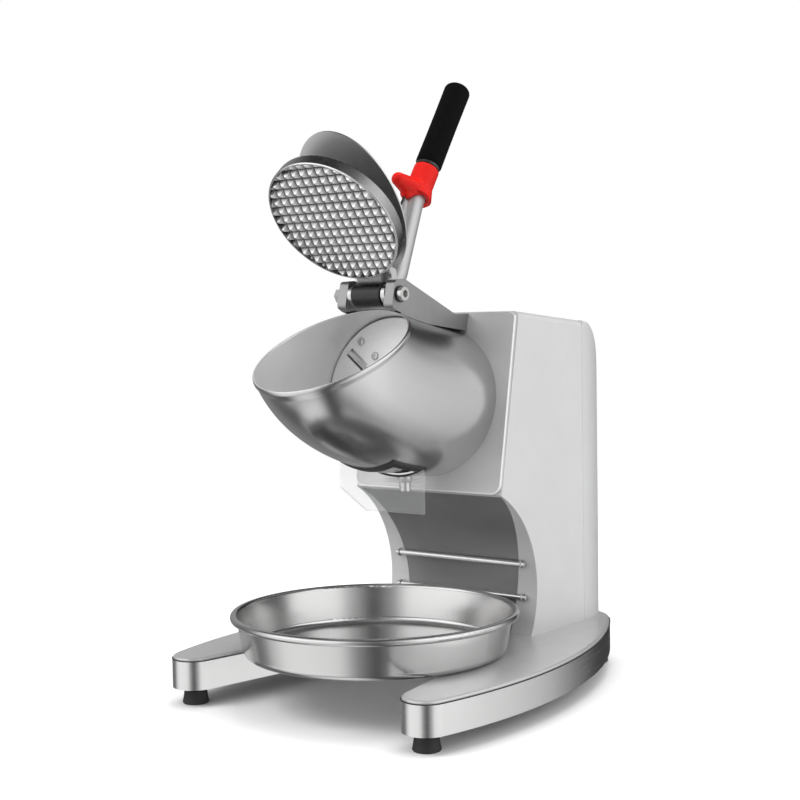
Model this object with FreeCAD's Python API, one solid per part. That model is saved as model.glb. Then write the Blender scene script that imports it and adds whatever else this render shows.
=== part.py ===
"""Table-top ice shaver with a scoop-shaped drum, a hand lever and a lift-out tray.

Millimetres. X is across the machine, -Y is its front and +Z is up. The origin is on the
table under the middle of the machine's plan.
"""
import FreeCAD, Part
import math
import os

V = FreeCAD.Vector
X_AXIS = V(1, 0, 0)
Y_AXIS = V(0, 1, 0)
Z_AXIS = V(0, 0, 1)

# Overall
reach = 208.35              # from the origin to the front of the tray and to the rear of the base
sheet = 1.5                 # stainless sheet

# Base
leg_under = 15.6            # height of the base's underside
leg_top = 45.3              # height of the legs' flat tops
foot_x = 132.3
foot_y = -176.7
rear_foot_x = 92.0
rear_foot_y = 168.0
leg_tip_r = 20.8
base_half_width = 167.5
leg_bow_r = 480.0           # radius of the legs' bowed outer edges
leg_flare = math.radians(9.6)   # the legs' inner edges close towards the rear
rear_bow_r = 430.0
base_corner_r = 46.0
notch_y = 18.0              # rear edge of the gap between the legs
notch_r = 52.0
band_top = 42.4             # upper edge of the steel band
band_wall = 1.5
crown_r = 2.5               # rounding of the casting's top edge
crown_inset = 0.8           # the casting's top stands in from the band
floor_plate = 2.4

# Tray
tray_y = -75.85
tray_bottom_r = 121.7
tray_rim_r = 132.5
tray_rim_z = 81.0
tray_bead_r = 3.4
tray_wall = 1.4
tray_gap = 0.3              # between the tray's bottom and the legs

# Column
panel_tilt = 10.45          # degrees that the front panel leans back
panel_y = 19.5              # the drum axis meets the panel here
panel_z = 270.2
panel_low = 186.0
panel_high = 356.0
panel_half = 86.0
panel_thick = 3.0
column_rear = 147.0         # seam between the column and its rear cover
column_rear_half = 91.0
column_wall = 3.0
column_round = 6.0
roof_slope = 0.085
recess_r = 103.7            # concave front under the panel
recess_cy = -40.2
recess_cz = 92.0
rod_r = 2.75
rod_half = 78.0
rod_proud = 2.5             # the rods' middle stands this far in front of the recess
rod_heights = (80.4, 112.8)
louvre_rows = 7
cover_screw_x = 58.0
cover_screw_z = (82.0, 258.0)
gland_x = -48.0             # bush for the mains lead
gland_z = 66.0
gland_bore = 3.6

# Switch, in the column's left side
switch_y = 92.0
switch_z = 298.0
switch_pin_x = -85.0
rocker_tilt = 11.0          # degrees either way from flat

# Drum, along a tilted axis through the panel
drum_r = 72.5
mouth_top = V(0, -66.2, 358.6)
mouth_front = V(0, -198.0, 288.8)
mouth_half = 70.5
bead = 1.2                  # thickening of the drum's edge
section_points = 24         # points round each section of the drum
screw_angles = (45, 135, 225, 315)
drum_screw_r = 64.5         # pitch radii of the drum's and the motor's screws
motor_screw_r = 52.0
disc_s = 70.0               # blade disc's distance in front of the panel
disc_r = 69.2
disc_thick = 3.0
blade_angle = 143.5         # degrees round the axis, from +X
slot_in = 26.0              # ends of the blade slot, from the axis
slot_out = 62.5
slot_half = 4.6
blade_screw_across = -15.5
blade_screw_along = (34.0, 57.0)

# Outlet and its guard
outlet_half = 27.0
outlet_rear = -42.0
outlet_front = -60.0
guard_half = 32.6
guard_wall = 2.6
guard_low = 169.5
guard_front = -84.0
guard_rear = -40.0
guard_screw_y = -27.0
gasket_thick = 2.0

# Hinge, lever and presser
hinge = V(0, -72.3, 371.9)
bolt_r = 4.0
run = 0.05                  # radial running clearance
arm_in = 22.0               # inner and outer faces of the bracket's arms
arm_out = 32.0
hub_half = 16.4
hub_r = 11.5
presser_angle = 131.2       # degrees above +Y towards -Y, at rest
presser_reach = 83.0
presser_r = 64.5
presser_thick = 12.0
waffle_pitch = 9.3
waffle_deep = 4.2
lid_angle = 121.8
lid_offset = 19.0           # the lid's sheet stands this far behind the hinge
lid_long = 72.5
lid_half = 53.0
lid_reach = 81.5
tube_r = 9.6
tube_wall = 1.6
lever_low = V(0, -37.0, 384.5)
lever_bend = V(0, -8.0, 458.0)
lever_end = V(0, 65.58, 570.24)
grip_r = 12.9
grip_long = 96.0
grip_cap = 6.5              # foam beyond the tube's end
collar_r = 12.4
collar_low = 7.0            # distances of the collar's ends from the lever's bend
collar_high = 41.0
collar_flare = 3.4
lobe_tip_r = 6.6            # rounded end of the trigger's finger lobe

# Motor
motor_r = 61.0
motor_front = -8.0          # distances along the drum axis, negative behind the panel
motor_rear = -107.0
shaft_r = 8.0

tilt = math.radians(panel_tilt)
axis = V(0, -math.cos(tilt), math.sin(tilt))
rise = V(0, math.sin(tilt), math.cos(tilt))
centre = V(0, panel_y, panel_z)


def save(name, *shapes):
    shape = shapes[0] if len(shapes) == 1 else Part.makeCompound(list(shapes))
    shape.exportStep("parts/" + name + ".step")


def box(x0, x1, y0, y1, z0, z1):
    return Part.makeBox(x1 - x0, y1 - y0, z1 - z0, V(x0, y0, z0))


def rod(start, end, radius):
    way = end - start
    return Part.makeCylinder(radius, way.Length, start, way)


def pipe(start, end, radius, bore):
    way = (end - start).normalize()
    return rod(start, end, radius).cut(rod(start - way, end + way, bore))


def on_axis(s, r=0.0, x=0.0):
    """A point s in front of the panel and r above the drum axis."""
    return centre + axis * s + rise * r + X_AXIS * x


def around_axis(s, radius, degrees):
    """A point at a distance from the drum axis, at an angle from +X."""
    turn = math.radians(degrees)
    return on_axis(s, radius * math.sin(turn), radius * math.cos(turn))


def axis_ring(s0, s1, radius, bore=0.0):
    if bore:
        return pipe(on_axis(s0), on_axis(s1), radius, bore)
    return rod(on_axis(s0), on_axis(s1), radius)


def from_hinge(degrees, along, behind=0.0, x=0.0):
    """A point measured from the hinge along a plane that rises at an angle above +Y."""
    turn = math.radians(degrees)
    way = V(0, math.cos(turn), math.sin(turn))
    back = V(0, math.sin(turn), -math.cos(turn))
    return hinge + way * along + back * behind + X_AXIS * x


def side_face(points):
    """A flat face in the YZ plane through corner points."""
    corners = [V(0, y, z) for y, z in points]
    return Part.Face(Part.makePolygon(corners + corners[:1]))


def side_plate(points, x0, x1):
    face = side_face(points)
    face.translate(V(x0, 0, 0))
    return face.extrude(V(x1 - x0, 0, 0))


def arc(a, b, c):
    return Part.Arc(a, b, c).toShape()


def line(a, b):
    return Part.LineSegment(a, b).toShape()


def bent_path(points, radius):
    """Straight runs joined by tangent arcs."""
    edges = []
    last = points[0]
    for before, corner, after in zip(points, points[1:], points[2:]):
        arriving = (corner - before).normalize()
        leaving = (after - corner).normalize()
        half_turn = arriving.getAngle(leaving) / 2
        setback = radius * math.tan(half_turn)
        start = corner - arriving * setback
        end = corner + leaving * setback
        inward = (leaving - arriving).normalize()
        sagitta = radius * (1 / math.cos(half_turn) - 1)
        edges.append(line(last, start))
        edges.append(arc(start, corner + inward * sagitta, end))
        last = end
    edges.append(line(last, points[-1]))
    return Part.Wire(edges)


def swept_disc(path, radius):
    start = path.Edges[0]
    tangent = start.tangentAt(start.FirstParameter)
    ring = Part.Wire(Part.makeCircle(radius, start.valueAt(start.FirstParameter), tangent))
    return path.makePipeShell([ring], True, True)


# Base

def circles_meet(first, first_r, second, second_r):
    """The point right of the middle plane where two circles in plan cross."""
    gap = second - first
    along = (gap.Length ** 2 + first_r ** 2 - second_r ** 2) / (2 * gap.Length)
    across = math.sqrt(first_r ** 2 - along ** 2)
    way = V(gap).normalize()
    side = V(-way.y, way.x, 0)
    choices = [first + way * along + side * across, first + way * along - side * across]
    return max(choices, key=lambda p: p.x + p.y)


def base_outline(grow):
    """The horseshoe plan: two bowed legs joined by a plate behind them."""
    foot = V(foot_x, foot_y, 0)
    bow_x = base_half_width - leg_bow_r
    bow_y = foot_y + math.sqrt((leg_bow_r - leg_tip_r) ** 2 - (foot_x - bow_x) ** 2)
    bow = V(bow_x, bow_y, 0)
    rear_bow = V(0, reach - rear_bow_r, 0)
    corner = circles_meet(bow, leg_bow_r - base_corner_r, rear_bow, rear_bow_r - base_corner_r)
    leg_way = V(-math.sin(leg_flare), math.cos(leg_flare), 0)
    leg_in = V(-leg_way.y, leg_way.x, 0)

    tip_out = foot + (foot - bow).normalize() * (leg_tip_r + grow)
    tip_front = foot - Y_AXIS * (leg_tip_r + grow)
    tip_in = foot + leg_in * (leg_tip_r + grow)
    corner_side = corner + (corner - bow).normalize() * (base_corner_r + grow)
    corner_rear = corner + (corner - rear_bow).normalize() * (base_corner_r + grow)
    corner_mid = corner + V(corner - (bow + rear_bow) * 0.5).normalize() * (base_corner_r + grow)
    bow_mid = bow + X_AXIS * (leg_bow_r + grow)

    # The notch between the legs has a rounded corner of notch_r at each side.
    centre_y = notch_y - notch_r
    start = foot + leg_in * (leg_tip_r + notch_r)
    notch = start + leg_way * ((centre_y - start.y) / leg_way.y)
    notch_side = notch - leg_in * (notch_r - grow)
    notch_back = notch + Y_AXIS * (notch_r - grow)
    notch_mid = notch + V(-leg_in.x, 1 - leg_in.y, 0).normalize() * (notch_r - grow)

    def left(point):
        return V(-point.x, point.y, 0)

    edges = [
        arc(tip_in, tip_front, tip_out),
        arc(tip_out, bow_mid, corner_side),
        arc(corner_side, corner_mid, corner_rear),
        arc(corner_rear, V(0, reach + grow, 0), left(corner_rear)),
        arc(left(corner_rear), left(corner_mid), left(corner_side)),
        arc(left(corner_side), left(bow_mid), left(tip_out)),
        arc(left(tip_out), left(tip_front), left(tip_in)),
        line(left(tip_in), left(notch_side)),
        arc(left(notch_side), left(notch_mid), left(notch_back)),
        line(left(notch_back), notch_back),
        arc(notch_back, notch_mid, notch_side),
        line(notch_side, tip_in),
    ]
    return Part.Face(Part.Wire(edges))


def base_slab(grow, low, high):
    face = base_outline(grow)
    face.translate(V(0, 0, low))
    return face.extrude(V(0, 0, high - low))


def base_casting():
    lower = base_slab(-band_wall - 0.2, leg_under + floor_plate, band_top)
    cap = base_slab(-crown_inset, band_top, leg_top)
    top_edges = [e for e in cap.Edges if abs(e.BoundBox.ZMin - leg_top) < 0.01]
    cap = cap.makeFillet(crown_r, top_edges)
    hollow = base_slab(-band_wall - 6, leg_under + floor_plate - 1, band_top - 3)
    posts = [rod(V(x, y, leg_under + floor_plate), V(x, y, leg_top - 3), 9) for x, y in feet()]
    body = lower.cut(hollow).fuse(cap)
    for post in posts:
        body = body.fuse(post)
    for x, y in feet():
        body = body.cut(rod(V(x, y, 0), V(x, y, 36), 3.1))
    return body.removeSplitter()


def base_band():
    outer = base_slab(0, leg_under, band_top - 0.4)
    return outer.cut(base_slab(-band_wall, leg_under - 1, band_top + 1))


def base_floor():
    plate = base_slab(-band_wall - 0.2, leg_under, leg_under + floor_plate - 0.1)
    for x, y in feet():
        plate = plate.cut(rod(V(x, y, 0), V(x, y, 36), 3.3))
    return plate


def feet():
    return [(foot_x, foot_y), (-foot_x, foot_y), (rear_foot_x, rear_foot_y), (-rear_foot_x, rear_foot_y)]


def foot_pad(x, y):
    outline = [
        V(3.2, 0, 2.5), V(3.2, 0, leg_under), V(9.2, 0, leg_under), V(9.2, 0, leg_under - 3),
        V(10.4, 0, leg_under - 3.6), V(11.3, 0, 5), V(12.2, 0, 1.2), V(11.4, 0, 0), V(6.5, 0, 0),
        V(6.5, 0, 2.5), V(3.2, 0, 2.5),
    ]
    pad = Part.Face(Part.makePolygon(outline)).revolve(V(0, 0, 0), Z_AXIS, 360)
    pad.translate(V(x, y, 0))
    return pad


def foot_screw(x, y):
    head = rod(V(x, y, 1.0), V(x, y, 2.5), 5.6)
    return head.fuse(rod(V(x, y, 2.5), V(x, y, 34), 3.0))


# Tray

def tray():
    bottom = leg_top + tray_gap
    bend = 7.0
    wall_low = V(tray_bottom_r, 0, bottom + bend)
    rim = V(tray_rim_r - tray_bead_r, 0, tray_rim_z)
    wall_high = V(rim.x - tray_bead_r + tray_wall, 0, tray_rim_z)
    knee = math.sqrt(0.5)
    outer_bend = V(tray_bottom_r - bend * (1 - knee), 0, bottom + bend * (1 - knee))
    inner = bend - tray_wall
    inner_bend = V(tray_bottom_r - bend + inner * knee, 0, bottom + bend - inner * knee)
    edges = [
        line(V(0, 0, bottom), V(tray_bottom_r - bend, 0, bottom)),
        arc(V(tray_bottom_r - bend, 0, bottom), outer_bend, wall_low),
        line(wall_low, wall_high),
        line(wall_high, wall_high - V(tray_wall, 0, 0)),
        line(wall_high - V(tray_wall, 0, 0), wall_low - V(tray_wall, 0, 0)),
        arc(wall_low - V(tray_wall, 0, 0), inner_bend, V(tray_bottom_r - bend, 0, bottom + tray_wall)),
        line(V(tray_bottom_r - bend, 0, bottom + tray_wall), V(0, 0, bottom + tray_wall)),
        line(V(0, 0, bottom + tray_wall), V(0, 0, bottom)),
    ]
    dish = Part.Face(Part.Wire(edges)).revolve(V(0, 0, 0), Z_AXIS, 360)
    roll = Part.makeTorus(rim.x, tray_bead_r, V(0, 0, rim.z), Z_AXIS)
    body = dish.fuse(roll)
    body.translate(V(0, tray_y, 0))
    return body


# Column

def panel_point(z, behind=0.0):
    """A point of the panel's plane at a height, or of a plane behind it."""
    y = panel_y + math.tan(tilt) * (z - panel_z) + behind / math.cos(tilt)
    return V(0, y, z)


def recess_point(z, r=recess_r):
    return V(0, recess_cy + math.sqrt(r * r - (z - recess_cz) ** 2), z)


def column_profile(inset, rear, low):
    """The column's side view, open upwards: leaning front and concave recess."""
    arc_r = recess_r + inset
    front_low = recess_point(low, arc_r)
    front_mid = recess_point(recess_cz, arc_r)
    ledge = panel_low - 1.0 + inset
    front_high = recess_point(ledge, arc_r)
    panel_foot = panel_point(ledge, panel_thick + inset)
    panel_head = panel_point(panel_high + 20, panel_thick + inset)
    edges = [
        arc(front_low, front_mid, front_high),
        line(front_high, panel_foot),
        line(panel_foot, panel_head),
        line(panel_head, V(0, rear, panel_head.z)),
        line(V(0, rear, panel_head.z), V(0, rear, low)),
        line(V(0, rear, low), front_low),
    ]
    return Part.Face(Part.Wire(edges))


def column_top(y):
    """Height of the column's roof, which slopes down to the rear."""
    return panel_high - roof_slope * (y - panel_point(panel_high).y)


def front_outline(y, inset, low):
    """The column seen from the front, at one depth: straight sides and a rounded top."""
    half = panel_half + (column_rear_half - panel_half) * y / column_rear - inset
    top = column_top(y) - inset
    r = column_round
    bow = r * (1 - math.sqrt(0.5))
    edges = [
        line(V(-half, y, low), V(-half, y, top - r)),
        arc(V(-half, y, top - r), V(-half + bow, y, top - bow), V(-half + r, y, top)),
        line(V(-half + r, y, top), V(half - r, y, top)),
        arc(V(half - r, y, top), V(half - bow, y, top - bow), V(half, y, top - r)),
        line(V(half, y, top - r), V(half, y, low)),
        line(V(half, y, low), V(-half, y, low)),
    ]
    return Part.Wire(edges)


def column_prism(inset, rear, low):
    face = column_profile(inset, rear, low)
    face.translate(V(-120, 0, 0))
    body = face.extrude(V(240, 0, 0))
    ends = [front_outline(-20, inset, low - 1), front_outline(rear + 1, inset, low - 1)]
    return body.common(Part.makeLoft(ends, True, True))


def recess_patch(near, far):
    """The dark concave panel's space between two distances into the recess."""
    ring = Part.makeCylinder(recess_r + far, 240, V(-120, recess_cy, recess_cz), X_AXIS)
    ring = ring.cut(Part.makeCylinder(recess_r + near, 240, V(-120, recess_cy, recess_cz), X_AXIS))
    low = V(64, 0, leg_top)
    mid = V(69.5, 0, 119)
    high = V(83.5, 0, panel_low - 3)
    edges = [
        arc(low, mid, high),
        line(high, V(-high.x, high.y, high.z)),
        arc(V(-high.x, high.y, high.z), V(-mid.x, mid.y, mid.z), V(-low.x, low.y, low.z)),
        line(V(-low.x, low.y, low.z), low),
    ]
    window = Part.Face(Part.Wire(edges)).extrude(V(0, 200, 0))
    return ring.common(window)


def recess_rods():
    rods = []
    for z in rod_heights:
        y = recess_point(z).y - rod_proud
        bar = rod(V(-rod_half, y, z), V(rod_half, y, z), rod_r)
        ends = [e for e in bar.Edges if e.Closed]
        rods.append(bar.makeFillet(1.2, ends))
    return rods


def column_shell():
    body = column_prism(0, column_rear, leg_top)
    inner = column_prism(column_wall, column_rear + 10, leg_top - 10)
    body = body.cut(inner)
    window = axis_ring(-20, 20, 66)
    body = body.cut(window)
    body = body.cut(recess_patch(-0.2, 1.2))
    for bar in recess_rods():
        body = body.cut(bar)
    switch_hole = box(-120, -60, switch_y - 9.4, switch_y + 9.4, switch_z - 13.4, switch_z + 13.4)
    return body.cut(switch_hole)


def front_panel():
    face_low = panel_point(panel_low)
    high = (panel_high - panel_low) / math.cos(tilt)
    slab = Part.makeBox(2 * panel_half, panel_thick, high, V(-panel_half, 0, 0))
    upright = [e for e in slab.Edges if e.BoundBox.XLength < 0.1 and e.BoundBox.ZLength < 0.1]
    slab = slab.makeFillet(10, upright)
    front = [e for e in slab.Edges if e.BoundBox.YMax < 0.01]
    slab = slab.makeFillet(1.2, front)
    slab.rotate(V(0, 0, 0), X_AXIS, -panel_tilt)
    slab.translate(V(0, face_low.y, face_low.z))
    slab = slab.cut(axis_ring(-20, 20, 16))
    for a in screw_angles:
        slab = slab.cut(rod(around_axis(-20, motor_screw_r, a), around_axis(20, motor_screw_r, a), 2.2))
    return slab


def recess_panel():
    return recess_patch(0.3, 1.2)


def cover_prism(inset):
    """The rear cover's block: its top rounds down to a straight back."""
    cover_top = column_top(column_rear)
    face = Part.Face(Part.Wire([
        line(V(0, column_rear + 0.3, leg_top), V(0, column_rear + 0.3, cover_top - inset)),
        line(V(0, column_rear + 0.3, cover_top - inset), V(0, 160, cover_top - 2.5 - inset)),
        arc(V(0, 160, cover_top - 2.5 - inset), V(0, 187 - inset, 321 - inset), V(0, 199 - inset, 272)),
        line(V(0, 199 - inset, 272), V(0, 201.5 - inset, 60)),
        line(V(0, 201.5 - inset, 60), V(0, 201.5 - inset, leg_top)),
        line(V(0, 201.5 - inset, leg_top), V(0, column_rear + 0.3, leg_top)),
    ]))
    face.translate(V(-120, 0, 0))
    body = face.extrude(V(240, 0, 0))
    half = column_rear_half - inset
    back_half = 76 - inset
    edges = [
        line(V(-half, column_rear, 0), V(half, column_rear, 0)),
        arc(V(half, column_rear, 0), V(half - 3.6, 176, 0), V(back_half + 3, 197, 0)),
        line(V(back_half + 3, 197, 0), V(back_half - 8, 203, 0)),
        line(V(back_half - 8, 203, 0), V(8 - back_half, 203, 0)),
        line(V(8 - back_half, 203, 0), V(-back_half - 3, 197, 0)),
        arc(V(-back_half - 3, 197, 0), V(3.6 - half, 176, 0), V(-half, column_rear, 0)),
    ]
    return body.common(Part.Face(Part.Wire(edges)).extrude(V(0, 0, 400)))


def rear_cover():
    body = cover_prism(0).cut(cover_prism(column_wall).fuse(box(-84, 84, 140, 150, 50, 336)))
    for row in range(louvre_rows):
        z = 90 + row * 12
        for x in (-34, 34):
            slot = box(x - 26, x + 26, 190, 210, z, z + 4)
            body = body.cut(slot)
    body = body.cut(rod(V(gland_x, 190, gland_z), V(gland_x, 215, gland_z), 6.2))
    for x, z in cover_screw_places():
        body = body.cut(rod(V(x, 190, z), V(x, 215, z), 2.3))
    return body


def cover_screw_places():
    return [(x, z) for x in (-cover_screw_x, cover_screw_x) for z in cover_screw_z]


def rear_cover_screws():
    return [dome_screw(V(x, 201.6, z), Y_AXIS, 4.4, 2.6, 2.1, 8) for x, z in cover_screw_places()]


def dome_screw(start, way, head_r, head_high, shank_r, shank_long):
    """A round-headed screw with a cross slot; start is under its head."""
    head = Part.makeCylinder(head_r, head_high, start, way)
    rim = [e for e in head.Edges if e.Closed]
    outer = max(rim, key=lambda e: (e.CenterOfMass - start).dot(way))
    head = head.makeFillet(head_high * 0.6, [outer])
    side = X_AXIS if abs(way.x) < 0.5 else Z_AXIS
    other = way.cross(side)
    for a, b in ((side, other), (other, side)):
        corner = start + way * head_high * 0.55 - a * head_r * 0.62 - b * head_r * 0.12
        slot = Part.Face(Part.makePolygon([
            corner, corner + a * head_r * 1.24, corner + a * head_r * 1.24 + b * head_r * 0.24,
            corner + b * head_r * 0.24, corner,
        ])).extrude(way * head_high)
        head = head.cut(slot)
    return head.fuse(Part.makeCylinder(shank_r, shank_long, start, way * -1))


def cap_screw(start, way, head_r, head_high, shank_r, shank_long):
    """A socket-head screw: a chamfered cylinder with a six-sided recess."""
    head = Part.makeCylinder(head_r, head_high, start, way)
    rim = [e for e in head.Edges if e.Closed]
    outer = max(rim, key=lambda e: (e.CenterOfMass - start).dot(way))
    head = head.makeFillet(head_high * 0.16, [outer])
    side = Z_AXIS if abs(way.z) < 0.8 else X_AXIS
    other = way.cross(side)
    corners = []
    for k in range(7):
        turn = math.radians(60 * k)
        reach_out = side * math.cos(turn) + other * math.sin(turn)
        corners.append(start + way * head_high * 0.35 + reach_out * head_r * 0.56)
    head = head.cut(Part.Face(Part.makePolygon(corners)).extrude(way * head_high))
    return head.fuse(Part.makeCylinder(shank_r, shank_long, start, way * -1))


def room_for(body, pieces):
    """The body with room cut in it for the pieces that it holds or meets."""
    for piece in pieces:
        body = body.cut(piece)
    return max(body.Solids, key=lambda s: s.Volume)


# Drum

def drum_section(w, grow):
    """A closed section of the drum; w runs from 0 at the panel to 1 at the mouth."""
    top_start = on_axis(0, drum_r)
    low = [on_axis(0, -drum_r), on_axis(10, -drum_r), mouth_front + V(0, 44.3, -82.9), mouth_front]
    u = 1 - w
    bottom = low[0] * u ** 3 + low[1] * 3 * u * u * w + low[2] * 3 * u * w * w + low[3] * w ** 3
    top = top_start + (mouth_top - top_start) * w
    middle = (top + bottom) * 0.5
    half_long = (top - bottom).Length / 2 + grow
    upward = (top - bottom).normalize()
    half_wide = drum_r + (mouth_half - drum_r) * w + grow
    points = []
    for k in range(section_points):
        turn = 2 * math.pi * k / section_points
        points.append(middle + upward * half_long * math.cos(turn) + X_AXIS * half_wide * math.sin(turn))
    curve = Part.BSplineCurve()
    curve.interpolate(points, True)
    return Part.Wire(curve.toShape())


def drum_loft(start, end, grow, sections=9):
    rings = [drum_section(start + (end - start) * k / (sections - 1), grow) for k in range(sections)]
    return Part.makeLoft(rings, True, False)


def drum():
    body = drum_loft(0, 1, 0).fuse(drum_loft(0.975, 1, bead, 3))
    body = body.cut(drum_loft(-0.05, 1.05, -sheet))
    return body.cut(box(-outlet_half, outlet_half, outlet_front, outlet_rear, 190, 232))


def drum_flange():
    ring = axis_ring(0.0, 2.0, drum_r - sheet - 0.3, 58)
    for a in screw_angles:
        ring = ring.cut(rod(around_axis(-5, drum_screw_r, a), around_axis(5, drum_screw_r, a), 2.3))
    return ring


def drum_screws():
    return [dome_screw(around_axis(2.0, drum_screw_r, a), axis, 4.2, 2.6, 2.0, 4.6) for a in screw_angles]


def outlet_gasket():
    """A rubber frame between the drum's underside and the guard."""
    frame = box(-33.2, 33.2, -86, -38, 190, 232).cut(box(-27.5, 27.5, -80, -41.5, 180, 240))
    skin = drum_loft(-0.05, 1, gasket_thick).cut(drum_loft(-0.08, 1.05, 0.02))
    pieces = frame.common(skin)
    return max(pieces.Solids, key=lambda s: -s.CenterOfMass.z)


def guard():
    """Clear walls under the outlet: a side with a sloped corner, a back and a ledge for its screw."""
    half = guard_half
    top = 214
    corner = 195.5
    side = [(guard_front, corner), (guard_rear - 6, guard_low), (guard_rear, guard_low),
            (guard_rear, top), (guard_front, top + 10)]
    left = side_plate(side, -half, -half + guard_wall)
    back = box(-half, half, guard_rear - guard_wall, guard_rear, guard_low, top)
    ledge = box(-18, 18, guard_rear - 0.2, -18, 197.2, 199.6)
    body = left.fuse([back, ledge])
    body = body.cut(drum_loft(-0.05, 1, gasket_thick + 0.1))
    body = body.cut(rod(V(0, guard_screw_y, 190), V(0, guard_screw_y, 210), 3.2))
    return max(body.removeSplitter().Solids, key=lambda s: s.Volume)


def guard_bolt():
    return cap_screw(V(0, guard_screw_y, 197.0), V(0, 0, -1), 5.6, 9.5, 2.9, 6.5)


def guard_boss():
    post = pipe(V(0, guard_screw_y, 199.8), V(0, guard_screw_y, 210), 7, 3.0)
    return post.cut(drum_loft(-0.05, 1, 0.02))


# Blade disc and rotor

def disc_local(s, along, across):
    """A point of the disc, along the first blade's slot and across it."""
    turn = math.radians(blade_angle)
    x = along * math.cos(turn) - across * math.sin(turn)
    r = along * math.sin(turn) + across * math.cos(turn)
    return on_axis(s, r, x)


def disc_block(s0, s1, a0, a1, c0, c1):
    corners = [disc_local(s0, a0, c0), disc_local(s0, a1, c0), disc_local(s0, a1, c1), disc_local(s0, a0, c1)]
    face = Part.Face(Part.makePolygon(corners + corners[:1]))
    return face.extrude(axis * (s1 - s0))


def both_ways(shape):
    """The shape and the same shape half a turn round the drum axis."""
    other = shape.copy()
    other.rotate(centre, axis, 180)
    return [shape, other]


def blade_disc():
    plate = axis_ring(disc_s, disc_s + disc_thick, disc_r, shaft_r)
    rim = [e for e in plate.Edges if e.Closed and e.BoundBox.XLength > 100]
    plate = plate.makeFillet(0.8, rim)
    for slot in both_ways(disc_block(disc_s - 1, disc_s + 5, slot_in, slot_out, -slot_half, slot_half)):
        plate = plate.cut(slot)
    for along in blade_screw_along:
        hole = rod(disc_local(disc_s - 1, along, blade_screw_across),
                   disc_local(disc_s + 5, along, blade_screw_across), 2.1)
        for each in both_ways(hole):
            plate = plate.cut(each)
    return plate


def blades():
    edge = disc_block(disc_s - 2.4, disc_s + disc_thick + 0.7, slot_in + 0.6, slot_out - 0.6, -2.2, 2.2)
    tail = disc_block(disc_s - 2.4, disc_s - 0.05, slot_in + 0.6, slot_out - 0.6, -22, 0)
    blade = edge.fuse(tail)
    for along in blade_screw_along:
        blade = blade.cut(rod(disc_local(disc_s - 4, along, blade_screw_across),
                              disc_local(disc_s + 2, along, blade_screw_across), 2.05))
    return both_ways(blade)


def blade_screws():
    screws = []
    for along in blade_screw_along:
        start = disc_local(disc_s + disc_thick, along, blade_screw_across)
        screws += both_ways(dome_screw(start, axis, 3.9, 1.8, 1.95, disc_thick + 3.4))
    return screws


def hub_nut():
    corners = [around_axis(disc_s + disc_thick, 12, 60 * k) for k in range(7)]
    nut = Part.Face(Part.makePolygon(corners)).extrude(axis * 8)
    dome = axis_ring(disc_s + disc_thick + 8, disc_s + disc_thick + 12, 8)
    top = [e for e in dome.Edges if e.Closed]
    far = max(top, key=lambda e: (e.CenterOfMass - centre).dot(axis))
    return nut.fuse(dome.makeFillet(3.5, [far])).cut(axis_ring(disc_s, disc_s + disc_thick + 7, 6.0))


def disc_hub():
    return axis_ring(disc_s - 14, disc_s, 17, shaft_r)


def motor_shaft():
    long = axis_ring(motor_rear - 20, disc_s + disc_thick, shaft_r)
    return long.fuse(axis_ring(disc_s + disc_thick, disc_s + disc_thick + 6.5, 6.0))


def rotor_core():
    return axis_ring(-85, -35, 33.4, shaft_r)


def cooling_fan():
    hub = axis_ring(motor_rear - 17, motor_rear - 5, 15, shaft_r)
    plate = axis_ring(motor_rear - 7, motor_rear - 5, 48, shaft_r)
    body = hub.fuse(plate)
    for k in range(8):
        blade = box(13, 46, -1, 1, 0, 9)
        blade.rotate(V(0, 0, 0), Z_AXIS, 45 * k)
        blade.rotate(V(0, 0, 0), X_AXIS, 90 - panel_tilt)
        blade.translate(on_axis(motor_rear - 6.5) - axis * 9)
        body = body.fuse(blade)
    return body


# Motor's fixed pieces

def motor_front_bell():
    bell = axis_ring(motor_front - 12, motor_front, motor_r, shaft_r + 1)
    bell = bell.cut(axis_ring(motor_front - 13, motor_front - 5, 55).cut(
        axis_ring(motor_front - 14, motor_front, 22)))
    return bell.cut(axis_ring(motor_front - 13, motor_front - 3, 16))


def motor_rear_bell():
    bell = axis_ring(motor_rear, motor_rear + 12, motor_r, shaft_r + 1)
    bell = bell.cut(axis_ring(motor_rear + 5, motor_rear + 13, 55).cut(
        axis_ring(motor_rear, motor_rear + 14, 22)))
    return bell.cut(axis_ring(motor_rear + 3, motor_rear + 13, 16))


def bearing(s0):
    ring = axis_ring(s0, s0 + 9, 16, shaft_r + run)
    groove = axis_ring(s0 - 1, s0 + 1, 13.5, 10.5).fuse(axis_ring(s0 + 8, s0 + 10, 13.5, 10.5))
    return ring.cut(groove)


def motor_standoffs():
    """Posts that carry the motor behind the panel."""
    posts = []
    for degrees in screw_angles:
        post = rod(around_axis(motor_front, motor_screw_r, degrees),
                   around_axis(-panel_thick, motor_screw_r, degrees), 6)
        bore = rod(around_axis(-20, motor_screw_r, degrees), around_axis(5, motor_screw_r, degrees), 2.2)
        posts.append(post.cut(bore))
    return posts


def motor_bolts():
    return [cap_screw(around_axis(0, motor_screw_r, a), axis, 3.8, 1.8, 2.0, 17) for a in screw_angles]


def stator_core():
    ring = axis_ring(-85, -35, motor_r - 2.8, 34.0)
    for k in range(12):
        slot = box(-3, 3, -25, 25, 36, 50)
        slot.rotate(V(0, 0, 0), Y_AXIS, 30 * k)
        slot.rotate(V(0, 0, 0), X_AXIS, -panel_tilt)
        slot.translate(on_axis(-60))
        ring = ring.cut(slot)
    return ring


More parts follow.
